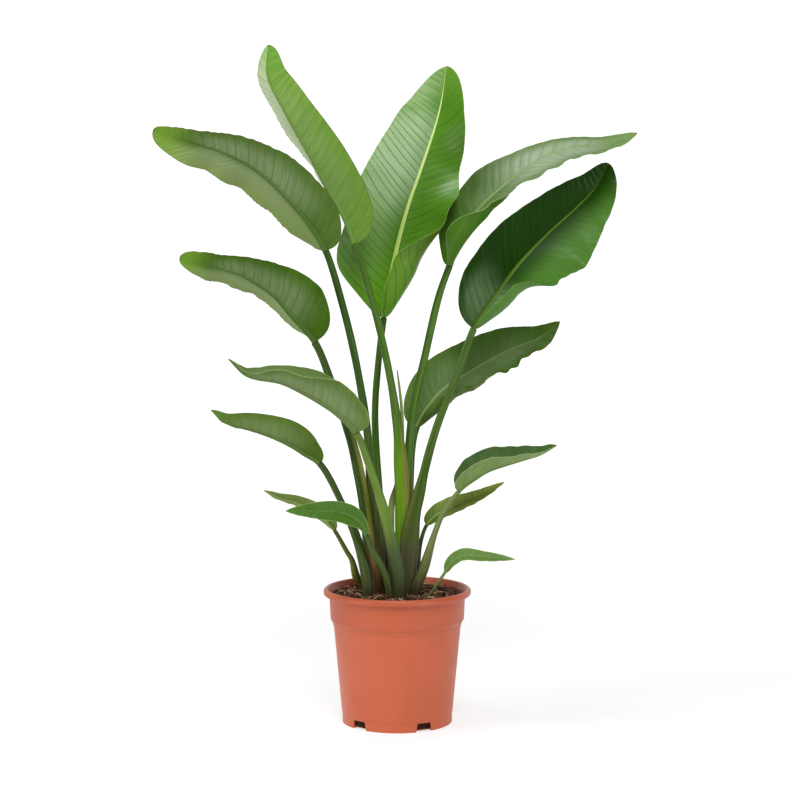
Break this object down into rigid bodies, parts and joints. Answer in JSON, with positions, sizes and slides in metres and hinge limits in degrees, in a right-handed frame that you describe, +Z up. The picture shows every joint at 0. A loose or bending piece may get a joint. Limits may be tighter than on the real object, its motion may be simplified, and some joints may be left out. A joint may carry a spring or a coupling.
{
  "type": "potted bird of paradise plant",
  "caption": "Young bird of paradise plant whose broad paddle leaves on long clasping stalks fan out from two shoots, standing in potting soil in a round terracotta-coloured plastic nursery pot",
  "frame": {"origin": "centre of the pot's flat underside, on the surface that the pot stands on", "axes": "+Z is up, along the pot's axis. The pictured front faces -Y, and +X is to the right in that view"},
  "size_m": [0.6269, 0.2736, 0.8981],
  "materials": {
    "leaf": "satin",
    "stalk": "satin",
    "pot": "satin",
    "soil": "matte"
  },
  "bodies": {
    "root": {"tall_left_stalk": "stalk", "tall_left_blade": "leaf", "arching_right_stalk": "stalk", "arching_right_blade": "leaf", "broad_right_stalk": "stalk", "broad_right_blade": "leaf", "lower_left_stalk": "stalk", "lower_left_blade": "leaf", "broad_left_stalk": "stalk", "broad_left_blade": "leaf", "broad_centre_stalk": "stalk", "broad_centre_blade": "leaf", "middle_left_stalk": "stalk", "middle_left_blade": "leaf", "middle_right_stalk": "stalk", "middle_right_blade": "leaf", "low_left_stalk": "stalk", "low_left_blade": "leaf", "lower_right_stalk": "stalk", "lower_right_blade": "leaf", "low_right_stalk": "stalk", "low_right_blade": "leaf", "small_left_back_stalk": "stalk", "small_left_back_blade": "leaf", "small_left_front_stalk": "stalk", "small_left_front_blade": "leaf", "seedling_right_stalk": "stalk", "seedling_right_blade": "leaf", "rolled_leaf": "leaf", "short_sheath": "stalk", "pot": "pot", "soil": "soil"}
  },
  "joints": []
}
